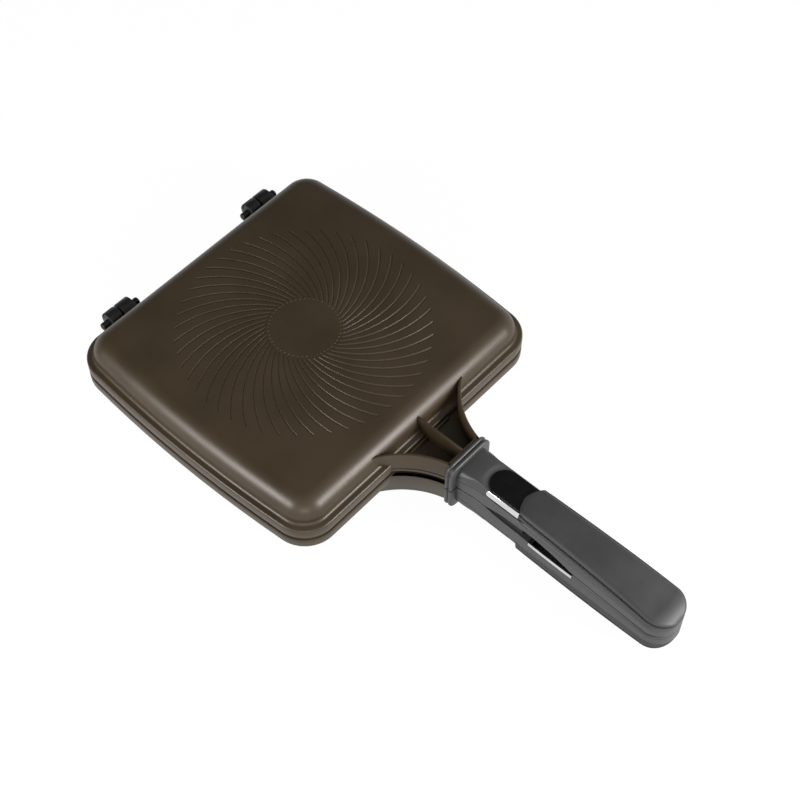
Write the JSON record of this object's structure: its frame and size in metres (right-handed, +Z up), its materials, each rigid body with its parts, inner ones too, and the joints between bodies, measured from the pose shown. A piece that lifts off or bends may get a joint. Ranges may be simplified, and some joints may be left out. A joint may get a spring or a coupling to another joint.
{
  "type": "double sided flip pan",
  "caption": "Hinged square double pan for a stove or fire: two shallow halves close into a box that is turned over by its split handle.",
  "frame": {"origin": "centre of the lower pan's flat base, on the surface it rests on", "axes": "+Z up through both pans, -Y along the handle, +X to the right with the hinges at the back"},
  "size_m": [0.196, 0.3667, 0.0438],
  "materials": {
    "pan_coating": "satin dark bronze non-stick coating",
    "handle_plastic": "fine matte",
    "soft_grip": "soft-touch matte",
    "gloss_inlay": "gloss",
    "polished_trim": "polished",
    "steel_plate": "polished",
    "zinc_screws": "zinc plated",
    "magnet": "nickel plated",
    "black_pins": "black oxide"
  },
  "bodies": {
    "lower_half": {"lower_pan": "pan_coating", "lower_collar": "handle_plastic", "lower_handle_body": "handle_plastic", "lower_grip_cover": "soft_grip", "lower_inlay": "gloss_inlay", "lower_trim_strips": "polished_trim", "lower_inner_plate": "steel_plate", "lower_tang_screw": "zinc_screws", "lower_cover_screws": "zinc_screws", "lower_magnet": "magnet"},
    "pins": {"hinge_pins": "black_pins"},
    "upper_half": {"upper_pan": "pan_coating", "upper_collar": "handle_plastic", "upper_handle_body": "handle_plastic", "upper_grip_cover": "soft_grip", "upper_inlay": "gloss_inlay", "upper_trim_strips": "polished_trim", "upper_inner_plate": "steel_plate", "upper_tang_screw": "zinc_screws", "upper_cover_screws": "zinc_screws", "upper_magnet": "magnet"}
  },
  "joints": [
    {"name": "lift_off_slide", "type": "slide", "parent": "lower_half", "child": "pins", "axis": [1, 0, 0], "range_m": [0, 0.016]},
    {"name": "pan_hinge", "type": "hinge", "parent": "pins", "child": "upper_half", "pos_m": [0, 0.0985, 0.0219], "axis": [-1, 0, 0], "range_deg": [0, 180]}
  ]
}
